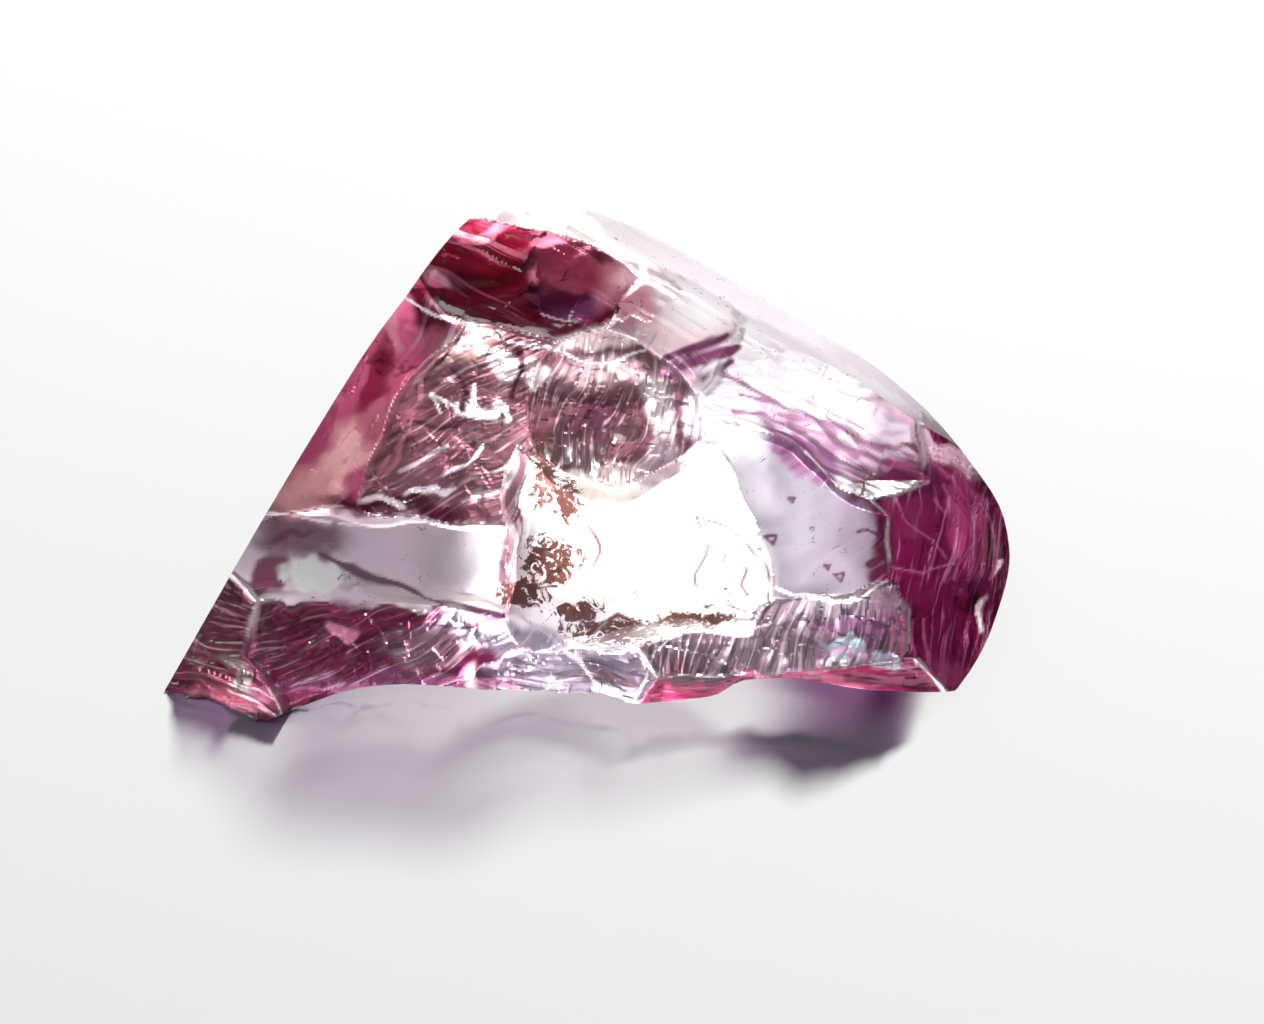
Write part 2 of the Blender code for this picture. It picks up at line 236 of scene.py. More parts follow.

# Patches over the scars' looks, some of them painted highlights, reflections or
# shade: middle (u, v), half sizes, turn in degrees, how soft the border is, and the look
PATCHES = (
    # Left strip
    ((-8.6, 1.45), (1.8, 0.66), 57.0, 0.35, (1.0, 0.6, 0.56, 0.25, 0.1)),
    ((-9.82, 0.35), (1.24, 0.71), 50.0, 0.35, (0.9, 0.48, 0.46, 0.2, 0.1)),
    ((-7.5, 2.95), (0.9, 0.5), 57.0, 0.4, (0.66, 0.22, 0.28, 0.12, 0.2)),
    ((-6.82, 4.91), (1.76, 0.82), 60.0, 0.4, (0.85, 0.18, 0.32, 0.12, 0.15)),
    ((-7.5, 3.95), (1.3, 0.36), 57.0, 0.35, (0.34, 0.025, 0.08, 0.08, 0.1)),
    ((-6.71, 5.29), (0.47, 0.21), -70.0, 0.4, (0.95, 0.36, 0.45, 0.2, 0.1)),
    # Upper lobe
    ((-3.88, 7.18), (1.82, 0.88), -5.0, 0.5, (0.075, 0.002, 0.006, 0.05, 0.2)),
    ((-5.2, 7.4), (1.2, 1.0), 50.0, 0.5, (0.06, 0.002, 0.008, 0.06, 0.3)),
    ((-6.0, 6.2), (0.9, 0.42), -50.0, 0.3, (0.09, 0.006, 0.018, 0.06, 0.2)),
    # Painted pink highlight on the lobe's left
    ((-5.75, 6.75), (0.5, 0.16), -60.0, 0.4, (0.5, 0.12, 0.2, 0.15, 0.5)),
    ((-1.6, 6.75), (1.1, 0.55), -20.0, 0.5, (0.75, 0.26, 0.38, 0.12, 0.4)),
    # Painted pink highlight along the lobe's top
    ((-4.76, 8.24), (1.35, 0.18), 8.0, 0.4, (0.46, 0.11, 0.16, 0.14, 0.5)),
    ((-1.94, 6.24), (1.0, 0.47), -15.0, 0.4, (0.2, 0.04, 0.13, 0.05, 0.2)),
    ((-1.29, 7.35), (1.41, 0.44), -30.0, 0.5, (0.62, 0.2, 0.3, 0.1, 0.2)),
    # Upper right
    ((0.18, 6.76), (1.0, 0.65), -35.0, 0.5, (1.0, 0.66, 0.7, 0.28, 0.3)),
    ((1.76, 6.24), (1.41, 0.88), -30.0, 0.4, (1.0, 1.0, 1.0, 0.28, 0.0)),
    ((-0.94, 5.12), (1.24, 0.47), 5.0, 0.35, (0.8, 0.7, 0.7, 0.28, 1.0)),
    ((1.71, 4.41), (1.06, 0.26), 25.0, 0.25, (0.24, 0.06, 0.15, 0.05, 0.9)),
    ((2.09, 3.76), (0.71, 0.35), -20.0, 0.3, (0.3, 0.1, 0.22, 0.05, 1.0)),
    # Hackles along the rim slope's lower border
    ((4.9, 2.6), (3.2, 0.7), -26.0, 0.5, (0.6, 0.46, 0.54, 0.28, 1.0)),
    ((4.5, 2.15), (2.9, 0.5), -26.0, 0.4, (0.22, 0.1, 0.19, 0.28, 1.0)),
    # Painted shade under the rim slope's right end
    ((7.6, 0.9), (0.9, 0.45), -15.0, 0.3, (0.1, 0.015, 0.05, 0.1, 0.4)),
    # Left hollow
    ((-6.9, 0.15), (2.4, 0.34), -3.0, 0.35, (0.085, 0.006, 0.024, 0.28, 0.8)),
    ((-4.53, 4.76), (1.35, 0.59), -20.0, 0.4, (0.25, 0.12, 0.125, 0.28, 1.0)),
    ((-4.24, 1.68), (0.76, 1.47), 0.0, 0.5, (0.08, 0.036, 0.043, 0.28, 0.8)),
    # Two small painted highlights on slivers
    ((-5.88, 0.68), (0.82, 0.12), 22.0, 0.2, (1.0, 1.0, 1.0, 0.3, 0.0)),
    ((-7.12, 0.12), (0.65, 0.15), -30.0, 0.2, (1.0, 0.95, 0.96, 0.3, 0.0)),
    ((-3.4, 4.3), (0.75, 0.4), -20.0, 0.25, (0.72, 0.62, 0.62, 0.28, 1.0)),
    ((-4.9, 4.9), (0.6, 0.5), 0.0, 0.3, (0.42, 0.27, 0.25, 0.28, 1.0)),
    # Upper hollow and its lip
    ((-1.1, 2.7), (0.7, 0.5), 40.0, 0.4, (0.07, 0.02, 0.035, 0.28, 0.8)),
    ((-0.1, 1.2), (1.2, 0.35), 10.0, 0.4, (0.62, 0.5, 0.48, 0.28, 1.0)),
    ((-0.9, 3.9), (1.3, 0.45), 0.0, 0.4, (0.42, 0.28, 0.3, 0.28, 1.0)),
    ((0.75, 2.9), (0.4, 1.0), 10.0, 0.4, (0.52, 0.46, 0.46, 0.28, 1.0)),
    ((0.82, 1.38), (0.53, 0.71), 20.0, 0.3, (0.4, 0.3, 0.33, 0.28, 0.6)),
    ((-0.76, 0.65), (1.65, 0.32), -8.0, 0.3, (0.86, 0.84, 0.72, 0.28, 0.7)),
    # Pale part between the upper hollow and the rim slope: painted light, a white glow
    ((2.82, 3.0), (1.0, 1.53), 15.0, 0.4, (1.0, 0.96, 1.0, 0.3, 0.1)),
    # Ledge facet, and the pale band below it, a painted reflection
    ((-4.9, -1.5), (1.6, 0.9), -8.0, 0.5, (0.45, 0.44, 0.46, 0.28, 0.05)),
    ((-9.76, -0.76), (1.53, 0.59), -8.0, 0.4, (0.17, 0.085, 0.13, 0.28, 0.3)),
    ((-10.06, -0.71), (0.71, 0.15), 3.0, 0.3, (0.12, 0.02, 0.05, 0.28, 0.2)),
    ((-6.76, -2.32), (3.24, 0.29), -12.0, 0.3, (0.5, 0.48, 0.46, 0.3, 1.0)),
    ((-10.7, -1.9), (0.5, 0.8), -20.0, 0.3, (0.16, 0.03, 0.07, 0.28, 0.6)),
    # Painted reflection on an up-facing ledge
    ((-9.45, -1.91), (1.0, 0.56), -5.0, 0.12, (0.68, 0.8, 0.72, 0.3, 0.1)),
    # Lower left
    ((-7.41, -3.24), (1.94, 0.47), -5.0, 0.4, (0.13, 0.012, 0.045, 0.28, 0.6)),
    ((-8.59, -3.53), (0.47, 0.21), 5.0, 0.2, (0.6, 0.24, 0.34, 0.2, 0.0)),
    ((-11.0, -3.5), (0.7, 0.7), 0.0, 0.4, (0.07, 0.012, 0.03, 0.2, 0.9)),
    ((-6.2, -4.0), (1.3, 0.5), 5.0, 0.4, (0.16, 0.085, 0.115, 0.28, 1.0)),
    ((-6.82, -5.0), (3.29, 0.35), 3.0, 0.4, (0.15, 0.05, 0.1, 0.28, 0.9)),
    ((-3.88, -3.82), (2.12, 0.44), -10.0, 0.4, (0.27, 0.24, 0.3, 0.28, 0.9)),
    # Foot
    ((-11.47, -5.0), (0.94, 0.38), -35.0, 0.3, (0.11, 0.09, 0.085, 0.28, 1.0)),
    ((-12.29, -4.88), (0.53, 0.21), -10.0, 0.3, (0.06, 0.012, 0.022, 0.28, 0.6)),
    # Lower middle and right
    ((-0.65, -4.71), (0.88, 0.59), 0.0, 0.3, (0.11, 0.09, 0.12, 0.28, 0.9)),
    ((2.0, -4.47), (1.53, 0.53), 0.0, 0.4, (0.12, 0.08, 0.1, 0.28, 1.0)),
    ((6.76, -3.47), (1.41, 0.41), 0.0, 0.4, (0.17, 0.09, 0.155, 0.28, 0.9)),
    # Painted reflections on two pale blue facets
    ((6.26, -4.21), (0.53, 0.29), -10.0, 0.12, (0.38, 0.52, 0.53, 0.28, 0.2)),
    ((7.44, -4.44), (0.59, 0.32), -5.0, 0.1, (0.44, 0.57, 0.59, 0.28, 0.2)),
    ((5.2, -5.0), (2.2, 0.16), -4.0, 0.25, (0.7, 0.16, 0.3, 0.15, 0.6)),
    ((8.9, -4.9), (0.9, 0.6), 20.0, 0.3, (0.24, 0.03, 0.1, 0.08, 0.4)),
    # Warm light at the core's bottom
    ((0.6, -2.5), (2.2, 0.5), 0.0, 0.5, (1.0, 0.9, 0.8, 0.28, 0.05)),
    ((-1.9, -2.0), (0.8, 0.7), 0.0, 0.5, (1.0, 0.86, 0.78, 0.28, 0.05)),
    # Lined part right of the core
    ((3.1, -1.7), (1.1, 1.1), 0.0, 0.3, (0.92, 0.88, 0.86, 0.28, 1.0)),
    # Oval
    ((5.5, -1.7), (1.5, 0.8), -20.0, 0.5, (0.27, 0.26, 0.285, 0.28, 0.04)),
    ((3.3, 0.9), (0.9, 0.8), -30.0, 0.6, (0.52, 0.52, 0.54, 0.28, 0.04)),
    # Right end
    ((8.03, 0.35), (1.18, 1.12), 0.0, 0.4, (0.19, 0.015, 0.075, 0.06, 0.2)),
    ((9.79, -0.24), (0.53, 1.82), 5.0, 0.4, (0.48, 0.055, 0.2, 0.1, 0.9)),
    # Painted pink-white highlights near the rim
    ((8.59, 2.21), (1.47, 0.26), -40.0, 0.3, (1.0, 0.78, 0.86, 0.2, 0.1)),
    ((9.65, 1.55), (0.7, 0.2), -50.0, 0.3, (1.0, 0.8, 0.88, 0.28, 0.2)),
    ((7.0, 0.21), (0.21, 1.12), 0.0, 0.4, (0.18, 0.1, 0.14, 0.15, 0.6)),
    # Painted highlights on two chips at the right edge
    ((10.75, -1.95), (0.12, 0.3), -15.0, 0.2, (1.0, 0.8, 0.85, 0.3, 0.0)),
    ((10.45, -2.95), (0.16, 0.42), -25.0, 0.2, (1.0, 0.85, 0.88, 0.3, 0.0)),
)

# A thin line's least width, how much it swells, and how soft its border is
LINE_LEAST = 0.3
LINE_SWELL = 1.5
LINE_SOFT = 0.4

# Looks of thin edges and cracks; the white and pale glints are painted highlights
WHITE_GLINT = (1.0, 1.0, 1.0, 0.30, 0.0)
DARK = (0.10, 0.04, 0.08, 0.08, 0.0)
PINK = (0.40, 0.09, 0.20, 0.12, 0.3)
BLADE = (0.18, 0.10, 0.12, 0.12, 0.4)
WINE = (0.10, 0.012, 0.04, 0.20, 0.6)
PLUM = (0.08, 0.02, 0.04, 0.28, 0.9)
PALE_GLINT = (0.66, 0.62, 0.66, 0.30, 0.2)
SPLINTER = (0.20, 0.05, 0.13, 0.28, 0.5)
CHIP = (0.34, 0.08, 0.12, 0.28, 0.8)
SALMON = (0.50, 0.22, 0.26, 0.28, 0.8)
HACKLE = (0.40, 0.22, 0.34, 0.28, 0.4)
BROWN = (0.16, 0.06, 0.05, 0.12, 0.0)
GREY = (0.16, 0.12, 0.12, 0.20, 0.0)

# Thin edges and cracks, some of them painted highlights or painted shade: points (u, v), half width, and
# the look
LINES = (
    # Ridge under the upper lobe, with a painted highlight along it
    (
        ((-6.59, 6.24), (-5.65, 5.71), (-4.76, 5.5), (-3.74, 5.06), (-2.56, 4.71), (-1.53, 4.41),
         (-0.82, 4.53), (0.24, 4.76), (0.59, 5.24)),
        0.04,
        PALE_GLINT,
    ),
    # Painted highlights on the slivers of the left hollow
    (((-5.85, 3.4), (-5.3, 3.15), (-4.9, 3.0)), 0.06, WHITE_GLINT),
    (((-5.1, 3.05), (-4.6, 2.9), (-4.1, 2.95), (-3.7, 3.2)), 0.15, WHITE_GLINT),
    (((-5.85, 3.4), (-5.55, 2.9)), 0.05, WHITE_GLINT),
    (((-3.7, 3.2), (-3.65, 2.8)), 0.12, WHITE_GLINT),
    (((-4.6, 3.8), (-4.5, 3.2), (-4.26, 2.85)), 0.08, WHITE_GLINT),
    (((-4.1, 4.6), (-3.7, 4.3), (-3.2, 4.4)), 0.07, WHITE_GLINT),
    (((-3.0, 4.0), (-2.8, 3.5)), 0.06, WHITE_GLINT),
    (((-6.9, 1.2), (-6.2, 1.5), (-5.6, 1.9)), 0.06, PALE_GLINT),
    (((-5.5, 1.0), (-4.9, 1.4), (-4.5, 2.0)), 0.06, PALE_GLINT),
    # Dark cracks of the left hollow
    (((-5.3, 4.2), (-4.8, 3.6), (-4.9, 3.0)), 0.08, PLUM),
    (((-3.5, 4.8), (-3.2, 4.1), (-3.4, 3.4)), 0.08, PLUM),
    (((-6.2, 3.6), (-5.6, 4.4), (-5.2, 5.1)), 0.06, PLUM),
    (((-6.6, 2.6), (-5.7, 2.4), (-4.9, 2.7)), 0.07, PLUM),
    # Blade between the left hollow and the core
    (((-3.3, 2.2), (-3.32, 1.4), (-3.42, 0.6), (-3.55, -0.3), (-3.7, -1.2), (-3.8, -1.9)), 0.17, BLADE),
    (((-3.12, 2.2), (-3.1, 1.2), (-3.2, 0.3), (-3.4, -0.9), (-3.6, -1.9)), 0.03, BROWN),
    # Painted highlight along the upper edge of the ledge
    (((-10.88, -0.03), (-8.88, -0.32), (-6.82, -0.35), (-4.76, -0.47), (-3.82, -0.44)), 0.035, WHITE_GLINT),
    # Curved edge below the ledge
    (
        ((-9.24, -1.29), (-8.29, -1.56), (-7.12, -2.06), (-5.94, -2.59), (-4.76, -2.82),
         (-3.65, -2.97)),
        0.08,
        DARK,
    ),
    (((-3.65, -2.97), (-4.76, -3.32), (-6.24, -3.44), (-7.41, -3.82)), 0.04, DARK),
    (((-3.88, -1.41), (-3.53, -2.12), (-2.71, -2.35), (-2.12, -2.24)), 0.04, DARK),
    # Cracks beside the core
    (((2.0, -0.2), (2.65, -0.29), (3.32, -0.82), (3.82, -1.47), (4.12, -2.18), (4.2, -2.7)), 0.05, GREY),
    (((-2.56, 1.24), (-1.97, 0.35), (-1.24, -0.38), (-1.06, -1.12), (-1.24, -1.85)), 0.06, BROWN),
    (((2.0, -0.2), (2.12, -0.8), (2.05, -1.3), (1.91, -1.85), (2.0, -2.2)), 0.05, GREY),
    (((2.45, -0.9), (2.7, -1.2), (2.62, -1.6), (2.9, -1.9)), 0.045, GREY),
    (((3.1, -1.2), (3.35, -1.6), (3.2, -2.1), (3.5, -2.4)), 0.045, GREY),
    (((2.2, -2.8), (2.7, -2.55), (3.2, -2.75), (3.9, -3.0)), 0.05, GREY),
    (
        ((-1.9, -3.0), (-1.2, -3.35), (-0.3, -3.0), (0.4, -3.4), (1.3, -3.1), (2.2, -3.35),
         (3.0, -3.0), (3.9, -3.15)),
        0.05,
        BROWN,
    ),
    # Painted highlight along the lower rim of the oval
    (((4.21, -2.15), (4.94, -2.53), (5.97, -2.68), (6.85, -2.44), (7.44, -2.0)), 0.04, WHITE_GLINT),
    # Painted highlights along the edges that meet at the lowest point
    (((-3.44, -2.59), (-2.9, -3.4), (-2.3, -3.9), (-1.29, -4.82), (-0.18, -5.59)), 0.035, PALE_GLINT),
    (((1.06, -3.76), (0.6, -4.2), (0.45, -4.8), (0.06, -5.59)), 0.035, PALE_GLINT),
    (((-2.12, -3.76), (-0.94, -4.06), (0.24, -3.91), (2.0, -3.53), (4.06, -3.32)), 0.035, PALE_GLINT),
    # Darker walls beside the foot, and painted shade under the rim slope
    (((-11.76, -1.88), (-11.0, -2.74), (-11.3, -4.3), (-10.5, -5.7)), 0.24, PLUM),
    (((6.9, 0.7), (7.8, 0.6), (8.7, 0.8)), 0.28, WINE),
    # Hackles across the rim slope's lower border
    (((2.5, 4.1), (3.3, 3.9), (4.1, 3.4)), 0.06, HACKLE),
    (((3.0, 3.0), (3.9, 2.9), (4.7, 2.5)), 0.08, HACKLE),
    (((3.3, 3.5), (4.2, 3.3), (5.0, 2.8)), 0.08, HACKLE),
    (((4.4, 2.9), (5.2, 2.7), (5.9, 2.3)), 0.09, HACKLE),
    (((4.7, 2.4), (5.7, 2.2), (6.5, 1.7)), 0.09, HACKLE),
    (((5.6, 2.6), (6.4, 2.4), (7.2, 1.9)), 0.07, HACKLE),
    (((5.9, 1.9), (6.8, 1.8), (7.5, 1.4)), 0.09, HACKLE),
    (((6.6, 2.2), (7.4, 2.0), (8.2, 1.5)), 0.06, HACKLE),
    (((7.8, 2.0), (8.6, 1.6), (9.3, 1.0)), 0.07, PINK),
    (((7.4, 1.6), (8.1, 1.3), (8.7, 0.8)), 0.08, PINK),
    # Purple splinters where the rim slope meets the upper hollow
    (((0.97, 4.5), (1.9, 4.8), (2.8, 5.3)), 0.1, SPLINTER),
    (((1.4, 4.2), (2.2, 4.5), (3.0, 5.0)), 0.12, SPLINTER),
    (((2.1, 3.9), (2.5, 4.2), (2.8, 4.5)), 0.1, SPLINTER),
    # Chips along the upper rim
    (((-1.9, 8.35), (-1.2, 7.95), (-0.6, 7.6), (0.1, 7.25), (0.8, 6.85), (1.5, 6.5)), 0.08, CHIP),
    (((-2.4, 8.1), (-1.6, 7.75), (-0.9, 7.3)), 0.05, CHIP),
    # Hackles across the left strip's inner border
    (((-7.9, 0.7), (-7.5, 1.1), (-7.2, 1.7)), 0.055, SALMON),
    (((-7.4, 1.0), (-7.0, 1.5), (-6.8, 2.1)), 0.055, SALMON),
    (((-7.0, 1.9), (-6.6, 2.3), (-6.4, 2.9)), 0.055, SALMON),
    (((-6.6, 2.8), (-6.2, 3.2), (-6.1, 3.8)), 0.055, SALMON),
    (((-6.3, 3.8), (-5.9, 4.2), (-5.7, 4.7)), 0.055, SALMON),
    # Broken border between the oval and the right end
    (((7.4, 0.6), (7.25, 0.1), (7.45, -0.4), (7.25, -0.9), (7.45, -1.4), (7.2, -1.9)), 0.2, WINE),
    (((7.3, 0.2), (6.95, 0.5)), 0.07, WINE),
    (((7.3, -0.6), (6.85, -0.4), (6.6, -0.5)), 0.06, WINE),
    (((7.3, -1.2), (6.9, -1.5)), 0.07, WINE),
    # Arcs of the right end
    (((7.53, -1.56), (8.62, -1.91), (9.65, -1.47), (10.38, -0.53), (10.65, 0.5)), 0.03, PINK),
    (((7.68, 0.76), (8.03, -0.24), (8.76, -0.97), (9.21, -1.41)), 0.025, PINK),
    (((8.32, 1.68), (9.35, 1.53), (9.71, 0.65), (9.59, -0.24)), 0.025, PINK),
    (((9.4, 1.1), (10.1, 0.4), (10.4, -0.6), (10.3, -1.8)), 0.04, PINK),
    (((9.2, 0.7), (9.8, 0.1), (10.1, -0.8), (9.9, -2.0)), 0.04, PINK),
    (((9.0, 0.3), (9.5, -0.2), (9.75, -1.0), (9.5, -2.0)), 0.04, PINK),
    (((9.7, 1.2), (10.4, 0.5), (10.75, -0.6), (10.6, -1.9)), 0.04, PINK),
    # Fine upright lines of its lower corner
    (((7.6, -3.0), (7.55, -4.8)), 0.03, PINK),
    (((7.9, -3.1), (7.85, -5.0)), 0.03, PINK),
    (((8.2, -2.9), (8.2, -5.0)), 0.03, PINK),
    (((8.6, -3.2), (8.55, -4.9)), 0.03, PINK),
)

# Three-sided pits of the oval: middle (u, v) and size
PITS = (
    ((4.1, -0.8), 0.16),
    ((4.7, 0.35), 0.1),
    ((5.3, -0.5), 0.06),
    ((6.1, -1.9), 0.14),
    ((5.75, -1.6), 0.09),
    ((3.75, -1.1), 0.07),
)
PIT_CORNERS = ((-1.2, 0.5), (1.0, 0.7), (0.3, -1.0))
PIT_LINE = 0.03

# Colour of the skin and the underside: middle (u, v), half sizes, turn in
# degrees, how soft the border is, and the tint
ZONES = (
    ((-9.5, 1.8), (6.5, 2.0), 59.0, 0.4, (0.88, 0.55, 0.6)),
    ((-3.4, 6.9), (3.9, 2.0), -14.0, 0.4, (0.34, 0.09, 0.15)),
    ((-9.4, -3.9), (4.2, 1.6), 0.0, 0.4, (0.6, 0.28, 0.4)),
    ((9.9, -1.8), (2.4, 4.2), 10.0, 0.6, (0.42, 0.1, 0.22)),
    ((8.2, 3.4), (2.6, 0.9), -37.0, 0.4, (0.8, 0.7, 0.76)),
)
BODY_TINT = (1.0, 0.98, 1.0)
SKIN_FROST = 0.40
BASE_FROST = 0.06

# Where a point counts as on the skin, from nothing to whole, and as on the
# broken face, by its height over it
SKIN_BORDER = (0.985, 0.995)
FACE_BORDER = (-0.75, -0.55)

# How high the underside reaches, and over which height and left of which u a
# point is on the straight cut
UNDERSIDE_TOP = 0.05
CUT_BOTTOM = 0.5
CUT_RIGHT = -3.0

# Rust stains: middle (u, v) and half sizes
STAINS = (
    ((-2.4, -1.4), (1.1, 0.9)),
    ((-3.2, -2.4), (1.0, 0.6)),
    ((-0.6, -3.5), (1.8, 0.5)),
    ((1.8, -3.2), (1.4, 0.3)),
    ((-2.6, 1.3), (0.5, 1.4)),
    ((-1.5, -3.0), (0.9, 0.5)),
    ((-1.9, 0.4), (0.5, 0.9)),
)
STAIN_SOFT = (0.3, 1.3)
STAIN_COLOUR = (0.014, 0.0025, 0.0015, 1.0)

# How much light the stone holds back from its shadow, and where it differs:
# middle (u, v), half sizes, turn in degrees, how soft the border is, and how much
FACE_SHADE = 0.16
SHADES = (
    ((7.3, -1.0), (2.6, 7.5), -15.0, 0.4, 1.0),
    ((2.2, -5.6), (3.2, 1.0), 0.0, 0.4, 0.15),
    ((-11.8, -5.0), (2.2, 2.0), 0.0, 0.4, 1.0),
    ((-3.0, 7.5), (3.5, 1.6), -20.0, 0.5, 0.5),
    ((11.85, -1.0), (2.5, 9.0), -15.0, 0.1, 0.0),
)
CLEAR = (1.0, 1.0, 1.0, 1.0)
SHADE_COLOUR = (0.22, 0.09, 0.22, 1.0)

# Ground taken off the lump: the block's side
GROUND_BLOCK = 60.0

# Scoops out of the underside: middle (x, y) and half sizes (x, y, z)
UNDER_SCOOPS = {
    "front_scoop": ((0.8, -9.4), (10.5, 4.2, 0.45)),
    "right_scoop": ((13.2, -2.0), (4.2, 6.0, 1.1)),
    "back_scoop": ((-2.5, 8.6), (9.5, 3.6, 1.6)),
}
SCOOP_SEGMENTS = 96
SCOOP_RINGS = 48

# Faces that meet at more than this are shaded as a sharp edge
SHARP_ANGLE = math.radians(9.0)

# Chrysoberyl's clear body
STONE_IOR = 1.75
ABSORPTION_COLOUR = (0.88, 0.70, 0.85, 1.0)
ABSORPTION_DENSITY = 15.0

# Floor: its side and how far it lies below the stone, in metres, and its look
FLOOR_SIZE = 2.0
FLOOR_GAP = 0.00003
FLOOR_COLOUR = (0.58, 0.60, 0.60, 1.0)
FLOOR_ROUGHNESS = 0.9

# Lights: azimuth from straight behind the stone and rise in degrees, distance and
# size in metres, watts, colour, and whether the floor gets its light too
LIGHTS = {
    "back_light": (18.0, 32.0, 0.4, 0.04, 4.2, (1.0, 0.98, 0.96), True),
    "glow_panel": (8.0, 48.0, 0.25, 0.26, 0.44, (1.0, 1.0, 1.0), False),
    "left_panel": (-38.0, 42.0, 0.25, 0.19, 0.3, (1.0, 1.0, 1.0), False),
    "front_panel": (180.0, 56.0, 0.3, 0.12, 0.025, (1.0, 1.0, 1.0), False),
}
LIGHT_TARGET = (0.0, 0.0, 0.004)

# Room around the stone: dark in front and pale behind, as place along Y from 0
# to 1 and colour
ROOM_FRONT = (0.55, (0.04, 0.04, 0.05, 1.0))
ROOM_BACK = (0.70, (0.90, 0.93, 1.0, 1.0))
ROOM_STRENGTH = 0.30

# Camera: distance in metres, sensor in millimetres, and the view's width at the
# broken face in millimetres, from the photograph's pixels
CAMERA_DISTANCE = 0.2
SENSOR_WIDTH = 36.0
PHOTO_WIDTH = 1264
PIXELS_A_MILLIMETRE = 34
VIEW_WIDTH = PHOTO_WIDTH / PIXELS_A_MILLIMETRE

# One table of random numbers carries every noise
LATTICE_SIDE = 64
LATTICE_LAYERS = 6
LATTICE_SEED = 20
LATTICE = np.random.default_rng(LATTICE_SEED).random(
    (LATTICE_SIDE, LATTICE_SIDE, LATTICE_LAYERS)
)

# Further than any facet's height or line's distance
FAR = 9.0


def smooth(value, low, high):
    """0 below low, 1 above high, and a soft step between."""
    part = np.clip((value - low) / (high - low), 0.0, 1.0)
    return part * part * (3.0 - 2.0 * part)


def lattice_at(cell_u, cell_v, layer):
    """A layer's random number at a cell, the same again past its side."""
    return LATTICE[cell_u % LATTICE_SIDE, cell_v % LATTICE_SIDE, layer]


def noise(u, v, layer):
    """Soft random field from 0 to 1, with features about one unit wide."""
    cell_u = np.floor(u).astype(int)
    cell_v = np.floor(v).astype(int)
    part_u = smooth(u - cell_u, 0.0, 1.0)
    part_v = smooth(v - cell_v, 0.0, 1.0)
    left = lattice_at(cell_u, cell_v, layer)
    right = lattice_at(cell_u + 1, cell_v, layer)
    low = left + (right - left) * part_u
    left = lattice_at(cell_u, cell_v + 1, layer)
    right = lattice_at(cell_u + 1, cell_v + 1, layer)
    high = left + (right - left) * part_u
    return low + (high - low) * part_v


def shards(u, v, size):
    """Small flat facets at random tilts, meeting in sharp edges."""
    cell_u = np.floor(u / size).astype(int)
    cell_v = np.floor(v / size).astype(int)
    lowest = np.full(np.shape(u), FAR)
    for step_u in (-1, 0, 1):
        for step_v in (-1, 0, 1):
            near_u = cell_u + step_u
            near_v = cell_v + step_v
            mid_u = (near_u + lattice_at(near_u, near_v, 0)) * size
            mid_v = (near_v + lattice_at(near_u, near_v, 1)) * size
            off_u = (u - mid_u) / size
            off_v = (v - mid_v) / size
            tilt_u = lattice_at(near_u, near_v, 2) - 0.5
            tilt_v = lattice_at(near_u, near_v, 3) - 0.5
            plane = SHARD_TILT * (tilt_u * off_u + tilt_v * off_v)
            bowl = SHARD_HOLLOW * (off_u**2 + off_v**2)
            depth = SHARD_DROP * lattice_at(near_u, near_v, 4)
            lowest = np.minimum(lowest, plane + bowl - depth)
    return lowest


def wander(u, v):
    """The slow waviness that bends every ledge."""
    wander_u = u + 0.10 * np.sin(2.1 * v + 0.8) + 0.06 * np.sin(3.7 * v - 1.9 * u)
    wander_v = v + 0.08 * np.sin(1.7 * u + 2.4) + 0.04 * np.sin(3.1 * u + 2.3 * v)
    return wander_u, wander_v


def turned(u, v, turn):
    """Places along and across axes turned by this many degrees."""
    turn = math.radians(turn)
    along = u * math.cos(turn) + v * math.sin(turn)
    across = v * math.cos(turn) - u * math.sin(turn)
    return along, across


def past_ledge(u, v, point, turn, bend):
    """How far past a ledge's line the point (u, v) lies."""
    past, along = turned(u - point[0], v - point[1], turn)
    return past - bend * np.minimum(along**2, LEDGE_BEND_REACH**2)


def scar_surfaces(u, v):
    """The height of every scar at (u, v), one layer for each."""
    wander_u, wander_v = wander(u, v)
    layers = []
    for name, (mid_u, mid_v, height, lean_u, lean_v, rise_u, rise_v) in SCARS.items():
        along = u - mid_u
        up = v - mid_v
        surface = height + lean_u * along + lean_v * up
        surface = surface + rise_u * along**2 + rise_v * up**2
        for scar, point, turn, steepness, bend in LEDGES:
            if scar == name:
                past = past_ledge(wander_u, wander_v, point, turn, bend)
                surface = surface + steepness * np.maximum(past, 0.0)
        layers.append(surface)
    return np.stack(layers)


def strand_places(name, u, v):
    """Places along and across the strands of one scar, slightly bent."""
    bent_u = u + 0.5 * (noise(0.8 * u, 0.8 * v, 1) - 0.5)
    bent_v = v + 0.5 * (noise(0.8 * u + 7.0, 0.8 * v, 2) - 0.5)
    return turned(bent_u, bent_v, FINE[name][2])


def fine_relief(name, u, v):
    """Shards, hackles and ripples of one scar."""
    shard, hackle, _, width, ripple = FINE[name]
    along, across = strand_places(name, u, v)
    broken = np.zeros(len(u))
    for stretch_along, stretch_across, move, size, share in SHARD_SIZES:
        stretched = along * stretch_along + move
        broken = broken + share * shards(stretched, across * stretch_across, size)
    strand = noise(along / (STRAND_LENGTH * width), across / width, 3)
    relief = shard * broken + hackle * (1.0 - np.abs(2.0 * strand - 1.0))
    mid_u, mid_v = SCARS[name][:2]
    reach = np.hypot(u - mid_u - RIPPLE_START[0], v - mid_v - RIPPLE_START[1])
    return relief + ripple * np.sin(reach * RIPPLE_RATE + 3.0 * noise(u, v, 4))


